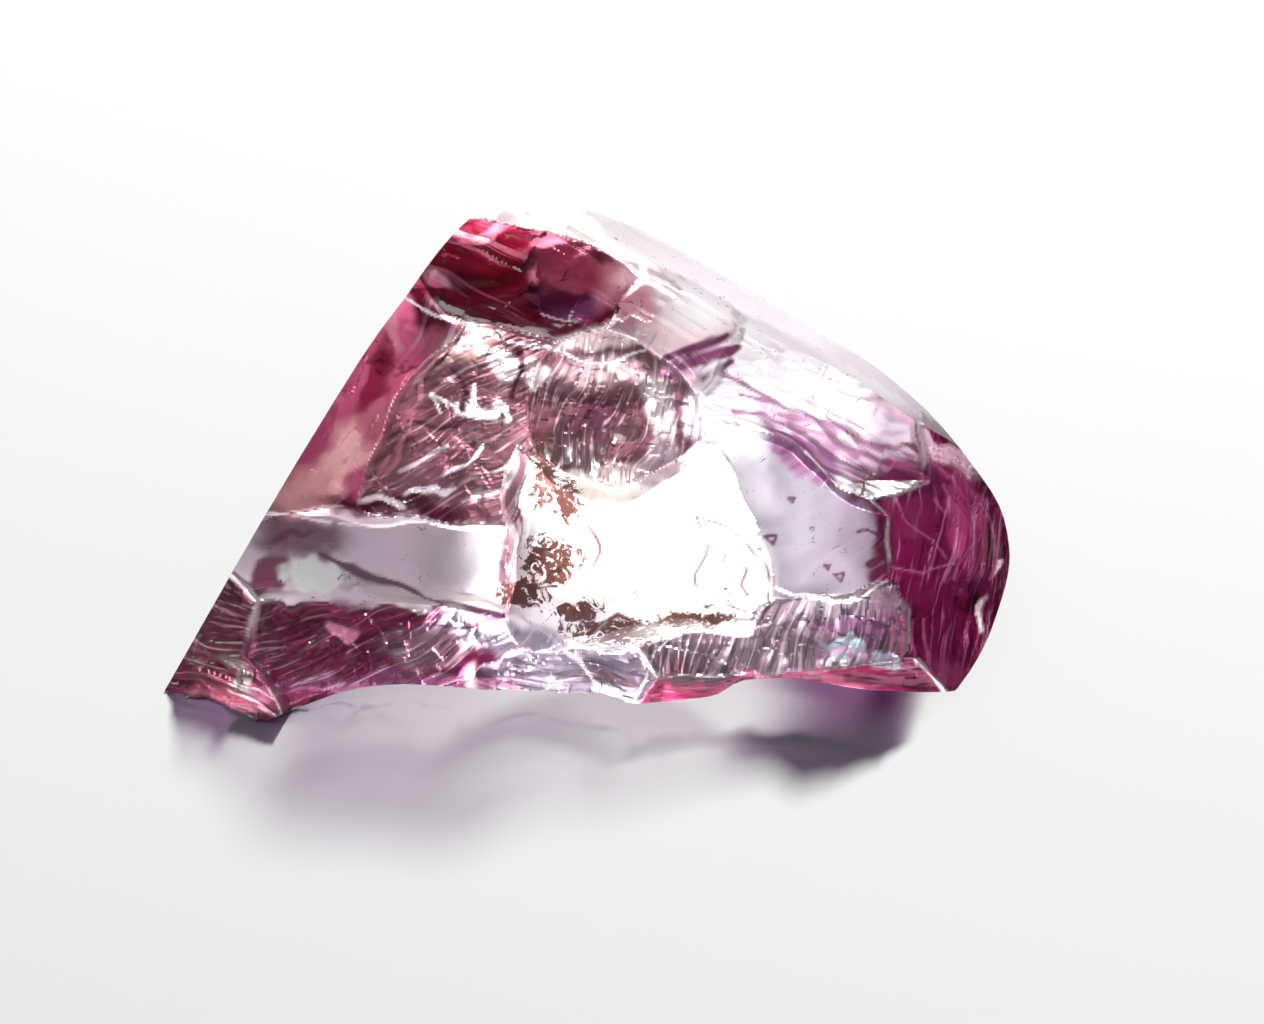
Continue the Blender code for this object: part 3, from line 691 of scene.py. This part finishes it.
def rank_scars(u, v):
    """The lowest scar at (u, v): its height, its number, and its lead on the next."""
    layers = scar_surfaces(u, v)
    jitter = [
        noise(1.3 * u + 9.0 * number, 1.3 * v, number % LATTICE_LAYERS)
        for number in range(len(SCARS))
    ]
    ranked = layers + BORDER_JITTER * np.stack(jitter)
    order = np.argsort(ranked, axis=0)[:2]
    lowest, second = np.take_along_axis(ranked, order, axis=0)
    height = np.take_along_axis(layers, order[:1], axis=0)[0]
    return height, order[0], second - lowest


def face_height(u, v):
    """Height w of the broken face at (u, v), with its fine relief."""
    height, owner, lead = rank_scars(u, v)
    whole = smooth(lead, 0.0, RELIEF_REACH)
    for number, name in enumerate(SCARS):
        here = owner == number
        if here.any():
            height[here] += fine_relief(name, u[here], v[here]) * whole[here]
    return FACE_LEVEL + height


def overlay(looks, u, v, patch):
    """Blends one soft oval patch over the looks."""
    (mid_u, mid_v), (half_u, half_v), turn, soft, look = patch
    along, across = turned(u - mid_u, v - mid_v, turn)
    reach = np.hypot(along / half_u, across / half_v)
    part = 1.0 - smooth(reach, 1.0 - soft, 1.0 + soft)
    return looks + (np.array(look) - looks) * part[:, None]


def draw_line(looks, u, v, line):
    """Draws one thin line over the looks, of uneven width."""
    points, half, look = line
    near = np.full(len(u), FAR)
    for (from_u, from_v), (to_u, to_v) in zip(points, points[1:]):
        run_u, run_v = to_u - from_u, to_v - from_v
        along = ((u - from_u) * run_u + (v - from_v) * run_v) / (run_u**2 + run_v**2)
        along = np.clip(along, 0.0, 1.0)
        reach = np.hypot(u - from_u - along * run_u, v - from_v - along * run_v)
        near = np.minimum(near, reach)
    width = half * (LINE_LEAST + LINE_SWELL * noise(2.3 * u, 2.3 * v, 2))
    part = 1.0 - smooth(near, (1.0 - LINE_SOFT) * width, (1.0 + LINE_SOFT) * width)
    return looks + (np.array(look) - looks) * part[:, None]


def draw_pit(looks, u, v, pit):
    """Draws the dark border of one three-sided pit over the looks."""
    (mid_u, mid_v), size = pit
    corners = [(mid_u + size * off_u, mid_v + size * off_v) for off_u, off_v in PIT_CORNERS]
    return draw_line(looks, u, v, ((*corners, corners[0]), PIT_LINE, DARK))


def ragged(u, v):
    """(u, v) moved a little, so that borders are uneven."""
    moved_u = u + 0.7 * (noise(1.1 * u, 1.1 * v, 1) - 0.5)
    moved_u = moved_u + 0.3 * (noise(3.1 * u, 3.1 * v, 2) - 0.5)
    moved_v = v + 0.7 * (noise(1.1 * u + 5.0, 1.1 * v, 3) - 0.5)
    moved_v = moved_v + 0.3 * (noise(3.1 * u, 3.1 * v + 8.0, 4) - 0.5)
    return moved_u, moved_v


def draw_ridges(looks, u, v, lead):
    """Darker bands and pale painted highlights along the scars' borders, here and there."""
    patchy = smooth(noise(1.7 * u, 1.7 * v, 5), 0.45, 0.65)
    border_darkening = BORDER_DARKENING * patchy * (1.0 - smooth(lead, *BORDER_DARKENING_REACH))
    looks = looks * (1.0 - border_darkening[:, None] * np.array((1.0, 1.0, 1.0, 0.0, 0.0)))
    crest_highlight = CREST_HIGHLIGHT * patchy * (1.0 - smooth(lead, *CREST_HIGHLIGHT_REACH))
    return looks + (np.array(CREST_HIGHLIGHT_LOOK) - looks) * crest_highlight[:, None]


def face_looks(u, v, owner, lead):
    """Tint, frost and strands of the broken face, with patches, lines and ridges, some of them painted
    highlights, reflections and shade.
    """
    looks = np.array(list(SCAR_LOOKS.values()))[owner]
    frost = looks[:, 3].copy()
    moved = ragged(u, v)
    for patch in PATCHES:
        looks = overlay(looks, *moved, patch)
    bent = wander(u, v)
    for line in LINES:
        looks = draw_line(looks, *bent, line)
    for pit in PITS:
        looks = draw_pit(looks, u, v, pit)
    looks[:, 3] = np.maximum(looks[:, 3], frost)
    return draw_ridges(looks, u, v, lead)


def outer_looks(u, v, on_skin, on_cut):
    """Tint, frost and strands of the skin, the straight cut and the underside."""
    tint = np.tile(np.array(BODY_TINT), (len(u), 1))
    moved = ragged(u, v)
    for patch in ZONES:
        tint = overlay(tint, *moved, patch)
    tint = np.where(on_cut[:, None], np.array(BODY_TINT), tint)
    frost = BASE_FROST + (SKIN_FROST - BASE_FROST) * np.maximum(on_skin, on_cut)
    return np.column_stack((tint, frost, np.zeros(len(u))))


def shade_amount(u, v):
    """How much of the light behind the stone is held back at (u, v)."""
    amount = np.full((len(u), 1), FACE_SHADE)
    for middle, sizes, turn, soft, dark in SHADES:
        amount = overlay(amount, u, v, (middle, sizes, turn, soft, (dark,)))
    return amount[:, 0]


def stain_amount(u, v):
    """How likely a rust stain is at (u, v), from 0 to 1."""
    amount = np.zeros(len(u))
    for (mid_u, mid_v), (half_u, half_v) in STAINS:
        reach = np.hypot((u - mid_u) / half_u, (v - mid_v) / half_v)
        amount = np.maximum(amount, 1.0 - smooth(reach, *STAIN_SOFT))
    return amount


def face_frame():
    """The broken face's frame in the world: its columns are u, v, w."""
    rise = FACE_RISE
    across = Vector((1.0, 0.0, 0.0))
    up_slope = Vector((0.0, math.sin(rise), math.cos(rise)))
    outward = Vector((0.0, -math.cos(rise), math.sin(rise)))
    return Matrix((across, up_slope, outward)).transposed().to_4x4()


def link_object(name, data):
    """A new object in the scene, with this data."""
    obj = bpy.data.objects.new(name, data)
    bpy.context.scene.collection.objects.link(obj)
    return obj


def new_object(name, bm):
    """An object that holds the shape, with its faces pointing out."""
    bmesh.ops.recalc_face_normals(bm, faces=bm.faces)
    if bm.calc_volume(signed=True) < 0.0:
        bmesh.ops.reverse_faces(bm, faces=bm.faces)
    mesh = bpy.data.meshes.new(name)
    bm.to_mesh(mesh)
    bm.free()
    return link_object(name, mesh)


def skin_reach(right, up, front):
    """1 on the skin, less inside it."""
    full = SKIN_FULLNESS
    total = np.abs(right / np.where(right > 0, SKIN_RIGHT, SKIN_LEFT)) ** full
    total = total + np.abs(up / np.where(up > 0, SKIN_UP, SKIN_DOWN)) ** full
    total = total + np.abs(front / np.where(front > 0, SKIN_FRONT, SKIN_BACK)) ** full
    return total ** (1.0 / full)


def skin_place():
    """The skin's lump in the broken face's frame."""
    return Matrix.Translation(SKIN_MIDDLE) @ Matrix.Rotation(SKIN_TURN, 4, "Z")


def make_skin(name, to_world):
    """The whole lump with its smooth rounded skin."""
    bm = bmesh.new()
    bmesh.ops.create_uvsphere(
        bm, u_segments=SKIN_SEGMENTS, v_segments=SKIN_RINGS, radius=1.0
    )
    for vert in bm.verts:
        vert.co = vert.co / float(skin_reach(*vert.co))
    bm.transform(to_world @ skin_place())
    return new_object(name, bm)


def make_face_cutter(to_world):
    """Everything in front of the broken face: its grid of points, walls and a lid."""
    left, right, low, high = FACE_EXTENT
    count_u = round((right - left) / FACE_SPACING)
    count_v = round((high - low) / FACE_SPACING)
    u, v = np.meshgrid(np.linspace(left, right, count_u), np.linspace(low, high, count_v))
    u, v = u.ravel(), v.ravel()
    place = np.arange(count_u * count_v).reshape(count_v, count_u)
    sheet = (place[:-1, :-1], place[1:, :-1], place[1:, 1:], place[:-1, 1:])
    faces = np.stack(sheet, axis=-1).reshape(-1, 4).tolist()
    rim = np.concatenate((place[0, :-1], place[:-1, -1], place[-1, :0:-1], place[:0:-1, 0]))
    lid = np.arange(len(rim)) + len(u)
    walls = (rim, np.roll(rim, -1), np.roll(lid, -1), lid)
    faces += np.stack(walls, axis=-1).tolist() + [lid.tolist()]
    points = np.column_stack((u, v, face_height(u, v)))
    top = np.column_stack((u[rim], v[rim], np.full(len(rim), FACE_LEVEL + FACE_TOP)))
    mesh = bpy.data.meshes.new("face_cutter")
    mesh.from_pydata(np.concatenate((points, top)).tolist(), [], faces)
    mesh.transform(to_world)
    return link_object("face_cutter", mesh)


def rounded(outline):
    """The outline as a smooth curve through its points."""
    points = [Vector(point) for point in outline]
    points = [points[0], *points, points[-1]]
    curve = []
    for before, start, stop, after in zip(points, points[1:], points[2:], points[3:]):
        leave = start + (stop - before) / 6
        arrive = stop - (after - start) / 6
        curve += interpolate_bezier(start, leave, arrive, stop, CURVE_STEPS)[:-1]
    return [*curve, points[-1]]


def make_prism(name, outline, to_world):
    """A prism along the face's normal, with the outline (u, v)."""
    bm = bmesh.new()
    bottom = [bm.verts.new((u, v, PRISM_BOTTOM)) for u, v in outline]
    face = bm.faces.new(bottom)
    extruded = bmesh.ops.extrude_face_region(bm, geom=[face], use_keep_orig=True)
    for element in extruded["geom"]:
        if isinstance(element, bmesh.types.BMVert):
            element.co.z = PRISM_TOP
    bm.transform(to_world)
    return new_object(name, bm)


def make_left_cutter(to_world):
    """Everything left of the straight cut, which shows a little from the front."""
    run = Vector(CUT_EDGE[3]) - Vector(CUT_EDGE[1])
    axis = Vector((run.x, run.y, 0.0))
    pivot = Matrix.Translation((*CUT_EDGE[2], FACE_LEVEL))
    tip = pivot @ Matrix.Rotation(CUT_SHOW, 4, axis) @ pivot.inverted()
    return make_prism("left_cutter", [*rounded(CUT_EDGE), *PAST_CUT], to_world @ tip)


def make_edge_cutter(to_world):
    """Everything past the broken lower edge and the right end."""
    outline = [*rounded(LOWER_EDGE), *PAST_LOWER_EDGE]
    return make_prism("edge_cutter", outline, to_world)


def make_floor_cutter():
    """Everything below the ground."""
    bm = bmesh.new()
    bmesh.ops.create_cube(bm, size=GROUND_BLOCK)
    bmesh.ops.translate(bm, verts=bm.verts, vec=(0.0, 0.0, -GROUND_BLOCK / 2))
    return new_object("floor_cutter", bm)


def make_scoop(name):
    """A flat round hollow in the underside."""
    (middle_x, middle_y), (half_x, half_y, half_z) = UNDER_SCOOPS[name]
    bm = bmesh.new()
    bmesh.ops.create_uvsphere(
        bm, u_segments=SCOOP_SEGMENTS, v_segments=SCOOP_RINGS, radius=1.0
    )
    size = Matrix.Diagonal((half_x, half_y, half_z, 1.0))
    bm.transform(Matrix.Translation((middle_x, middle_y, 0.0)) @ size)
    return new_object(name, bm)


def cut(body, cutters):
    """Takes the cutters' space out of the body for good."""
    for cutter in cutters:
        modifier = body.modifiers.new(cutter.name, "BOOLEAN")
        modifier.operation = "DIFFERENCE"
        modifier.solver = "EXACT"
        modifier.object = cutter
    graph = bpy.context.evaluated_depsgraph_get()
    mesh = bpy.data.meshes.new_from_object(body.evaluated_get(graph))
    body.modifiers.clear()
    body.data = mesh
    for cutter in cutters:
        bpy.data.objects.remove(cutter, do_unlink=True)


def make_stone():
    """The lump with everything cut away, at its real size in the part's frame."""
    to_world = face_frame()
    stone = make_skin("stone", to_world)
    cutters = [make_floor_cutter(), make_left_cutter(to_world), make_edge_cutter(to_world)]
    cutters += [make_scoop(name) for name in UNDER_SCOOPS]
    cutters.append(make_face_cutter(to_world))
    cut(stone, cutters)
    shift = Matrix.Translation(-Vector(STONE_MIDDLE))
    stone.data.transform(Matrix.Scale(MILLIMETRE, 4) @ shift)
    stone.data.shade_smooth()
    stone.data.set_sharp_from_angle(angle=SHARP_ANGLE)
    return stone


def store(mesh, name, kind, values):
    """Stores one value for each point of the mesh."""
    layer = mesh.attributes.new(name, kind, "POINT")
    slot = {"FLOAT_COLOR": "color", "FLOAT_VECTOR": "vector", "FLOAT": "value"}[kind]
    layer.data.foreach_set(slot, np.ascontiguousarray(values, np.float32).ravel())


def modelled_places(mesh):
    """The mesh's points in the modelling frame, in millimetres."""
    places = np.empty(len(mesh.vertices) * 3)
    mesh.vertices.foreach_get("co", places)
    return places.reshape(-1, 3) / MILLIMETRE + np.array(STONE_MIDDLE)


def skin_amount(u, v, w):
    """1 where (u, v, w) is on the lump's skin, 0 inside the lump."""
    turned = np.array(skin_place().inverted().to_3x3())
    offset = np.stack((u, v, w)) - np.array(SKIN_MIDDLE)[:, None]
    return smooth(skin_reach(*(turned @ offset)), *SKIN_BORDER)


def strand_field(u, v, owner):
    """Places along and across the strands, apart for each scar."""
    field = np.zeros((len(u), 3))
    for number, name in enumerate(SCARS):
        here = owner == number
        if here.any():
            width = FINE[name][3]
            along, across = strand_places(name, u[here], v[here])
            field[here, 0] = along / (LINE_LENGTH * width)
            field[here, 1] = across / width
            field[here, 2] = 3.0 * number
    return field


def dress_stone(stone):
    """Stores tint, frost, strands, stains and shade on the mesh."""
    mesh = stone.data
    places = modelled_places(mesh)
    ground = places[:, 2]
    u, v, w = (places @ np.array(face_frame().to_3x3())).T
    height, owner, lead = rank_scars(u, v)
    on_face = smooth(w - FACE_LEVEL - height, *FACE_BORDER)
    on_skin = np.where(ground < UNDERSIDE_TOP, 0.0, skin_amount(u, v, w))
    on_cut = (on_skin < 0.5) & (ground > CUT_BOTTOM) & (u < CUT_RIGHT)
    looks = np.where(
        on_face[:, None] > 0.5,
        face_looks(u, v, owner, lead),
        outer_looks(u, v, on_skin, on_cut),
    )
    tint = np.column_stack((looks[:, :3] ** 2, np.ones(len(u))))
    open_part = np.where(on_face > 0.5, 1.0, 1.0 - on_skin)
    store(mesh, "tint", "FLOAT_COLOR", tint)
    store(mesh, "frost", "FLOAT", looks[:, 3])
    store(mesh, "strand", "FLOAT_VECTOR", strand_field(u, v, owner))
    store(mesh, "strand_amount", "FLOAT", looks[:, 4] * smooth(lead, 0.0, STRAND_REACH))
    store(mesh, "stain", "FLOAT", stain_amount(u, v) * on_face)
    store(mesh, "shade", "FLOAT", shade_amount(u, v) * open_part)


def feed(tree, socket, source):
    """Links the source to the socket, or sets the socket to it as a value."""
    if isinstance(source, bpy.types.NodeSocket):
        tree.links.new(source, socket)
    else:
        socket.default_value = source


def add_node(tree, kind, sockets=(), **settings):
    """A new node with its settings made and its named inputs fed."""
    node = tree.nodes.new(kind)
    for name, value in settings.items():
        setattr(node, name, value)
    for name, source in dict(sockets).items():
        feed(tree, node.inputs[name], source)
    return node


def read_attribute(tree, name, output="Fac"):
    """What the mesh's points hold under this name."""
    return add_node(tree, "ShaderNodeAttribute", attribute_name=name).outputs[output]


def noise_texture(tree, place, scale, detail, roughness, distortion):
    """Fractal noise from 0 to 1 at the place."""
    names = ("Vector", "Scale", "Detail", "Roughness", "Distortion")
    sockets = dict(zip(names, (place, scale, detail, roughness, distortion)))
    return add_node(tree, "ShaderNodeTexNoise", sockets).outputs["Fac"]


def step(tree, value, low, high):
    """0 where the value is low or past it, 1 where it is high or past it."""
    sockets = {"Value": value, "From Min": low, "From Max": high}
    return add_node(tree, "ShaderNodeMapRange", sockets, clamp=True).outputs["Result"]


def combine(tree, operation, one, other):
    """The two values taken together by the operation."""
    node = add_node(tree, "ShaderNodeMath", {0: one, 1: other}, operation=operation)
    return node.outputs[0]


def times(tree, one, other):
    """The two values' product."""
    return combine(tree, "MULTIPLY", one, other)


def power(tree, colour, gamma):
    """The colour to a power: below 1 it is paler, above 1 deeper."""
    sockets = {"Color": colour, "Gamma": gamma}
    return add_node(tree, "ShaderNodeGamma", sockets).outputs["Color"]


def blend(tree, part, base, other):
    """The base colour where part is 0, the other where it is 1."""
    node = add_node(tree, "ShaderNodeMix", data_type="RGBA")
    sockets = [socket for socket in node.inputs if socket.enabled]
    for socket, source in zip(sockets, (part, base, other)):
        feed(tree, socket, source)
    return next(socket for socket in node.outputs if socket.enabled)


def lined(tree, colour, fibre, amount):
    """The colour with paler and deeper lines along the strands."""
    pale = times(tree, step(tree, fibre, 0.58, 0.66), amount)
    dark = times(tree, step(tree, fibre, 0.46, 0.36), amount)
    colour = blend(tree, times(tree, pale, 0.9), colour, power(tree, colour, 0.4))
    return blend(tree, times(tree, dark, 0.8), colour, power(tree, colour, 2.2))


def stained(tree, colour):
    """The colour with small blotches of rust where the mesh holds stain."""
    place = add_node(tree, "ShaderNodeTexCoord").outputs["Object"]
    blotch = noise_texture(tree, place, 2600.0, 6.0, 0.68, 1.5)
    likely = times(tree, read_attribute(tree, "stain"), 0.22)
    part = step(tree, combine(tree, "ADD", blotch, likely), 0.62, 0.66)
    return blend(tree, part, colour, STAIN_COLOUR)


def shaded(tree, surface):
    """The surface, but for shadows a clear one, as dark as the mesh's shade."""
    colour = blend(tree, read_attribute(tree, "shade"), CLEAR, SHADE_COLOUR)
    clear = add_node(tree, "ShaderNodeBsdfTransparent", {"Color": colour})
    part = add_node(tree, "ShaderNodeLightPath").outputs["Is Shadow Ray"]
    sockets = {0: part, 1: surface, 2: clear.outputs["BSDF"]}
    return add_node(tree, "ShaderNodeMixShader", sockets).outputs[0]


def crystal_material():
    """Clear stone: tinted, frosted and lined by what the mesh holds."""
    material = bpy.data.materials.new("clear_crystal")
    material.use_nodes = True
    tree = material.node_tree
    amount = read_attribute(tree, "strand_amount")
    strand = read_attribute(tree, "strand", "Vector")
    fibre = noise_texture(tree, strand, 1.0, 3.0, 0.6, 0.6)
    colour = lined(tree, read_attribute(tree, "tint", "Color"), fibre, amount)
    relief = {
        "Height": times(tree, fibre, amount),
        "Distance": STRAND_DEPTH * MILLIMETRE,
        "Strength": 0.4,
    }
    bump = add_node(tree, "ShaderNodeBump", relief)

    shader = tree.nodes["Principled BSDF"]
    shader.inputs["IOR"].default_value = STONE_IOR
    shader.inputs["Transmission Weight"].default_value = 1.0
    tree.links.new(stained(tree, colour), shader.inputs["Base Color"])
    tree.links.new(read_attribute(tree, "frost"), shader.inputs["Roughness"])
    tree.links.new(bump.outputs["Normal"], shader.inputs["Normal"])

    depth = {"Color": ABSORPTION_COLOUR, "Density": ABSORPTION_DENSITY}
    absorb = add_node(tree, "ShaderNodeVolumeAbsorption", depth)
    output = tree.nodes["Material Output"]
    tree.links.new(absorb.outputs["Volume"], output.inputs["Volume"])
    tree.links.new(shaded(tree, shader.outputs["BSDF"]), output.inputs["Surface"])
    return material


def floor_material():
    """Plain matt pale grey."""
    material = bpy.data.materials.new("pale_floor")
    material.use_nodes = True
    shader = material.node_tree.nodes["Principled BSDF"]
    shader.inputs["Base Color"].default_value = FLOOR_COLOUR
    shader.inputs["Roughness"].default_value = FLOOR_ROUGHNESS
    return material


def make_floor():
    """The plain floor, just below the stone."""
    bpy.ops.mesh.primitive_plane_add(size=FLOOR_SIZE, location=(0.0, 0.0, -FLOOR_GAP))
    floor = bpy.context.object
    floor.name = "pale_floor"
    floor.data.materials.append(floor_material())


def aim(obj, target):
    """Turns a light or the camera to look at the target."""
    direction = Vector(target) - obj.location
    obj.rotation_euler = direction.to_track_quat("-Z", "Y").to_euler()


def around(azimuth, rise, far):
    """A place at these angles from the stone, from straight behind it."""
    azimuth = math.radians(azimuth)
    rise = math.radians(rise)
    return (
        far * math.sin(azimuth) * math.cos(rise),
        far * math.cos(azimuth) * math.cos(rise),
        far * math.sin(rise),
    )


def add_light(name):
    """One round light, turned to the stone."""
    azimuth, rise, far, size, watts, colour, lights_floor = LIGHTS[name]
    light = bpy.data.lights.new(name, "AREA")
    light.shape = "DISK"
    light.size = size
    light.energy = watts
    light.color = colour
    obj = link_object(name, light)
    obj.location = around(azimuth, rise, far)
    obj.visible_diffuse = lights_floor
    aim(obj, LIGHT_TARGET)


def make_room():
    """The room's own soft light: dark in front of the stone, pale behind it."""
    world = bpy.data.worlds.new("studio")
    bpy.context.scene.world = world
    world.use_nodes = True
    tree = world.node_tree
    direction = add_node(tree, "ShaderNodeTexCoord").outputs["Generated"]
    split = add_node(tree, "ShaderNodeSeparateXYZ", {0: direction})
    ramp = add_node(tree, "ShaderNodeValToRGB", {"Fac": step(tree, split.outputs["Y"], -1.0, 1.0)})
    for element, (place, colour) in zip(ramp.color_ramp.elements, (ROOM_FRONT, ROOM_BACK)):
        element.position = place
        element.color = colour
    background = tree.nodes["Background"]
    background.inputs["Strength"].default_value = ROOM_STRENGTH
    tree.links.new(ramp.outputs["Color"], background.inputs["Color"])


def make_camera():
    """A camera that looks straight at the broken face, as the photograph does."""
    camera = link_object("camera", bpy.data.cameras.new("camera"))
    outward = face_frame().to_3x3() @ Vector((0.0, 0.0, 1.0))
    target = (FACE_LEVEL * outward - Vector(STONE_MIDDLE)) * MILLIMETRE
    camera.location = target + outward * CAMERA_DISTANCE
    camera.data.sensor_width = SENSOR_WIDTH
    camera.data.lens = SENSOR_WIDTH * CAMERA_DISTANCE / (VIEW_WIDTH * MILLIMETRE)
    camera.data.clip_start = 0.001
    camera.data.clip_end = 10.0
    aim(camera, target)
    bpy.context.scene.camera = camera


def set_light_paths():
    """Paths long enough for clear stone, with no caustics, and plain colours."""
    scene = bpy.context.scene
    scene.cycles.max_bounces = 24
    scene.cycles.transmission_bounces = 24
    scene.cycles.glossy_bounces = 12
    scene.cycles.transparent_max_bounces = 32
    scene.cycles.caustics_refractive = False
    scene.cycles.caustics_reflective = False
    scene.cycles.use_denoising = True
    scene.view_settings.view_transform = "Standard"
    scene.view_settings.exposure = 0.0


stone = make_stone()
dress_stone(stone)
stone.data.materials.clear()
stone.data.materials.append(crystal_material())
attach(stone, "root")
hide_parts("rough_alexandrite")
make_floor()
make_room()
for name in LIGHTS:
    add_light(name)
make_camera()
set_light_paths()
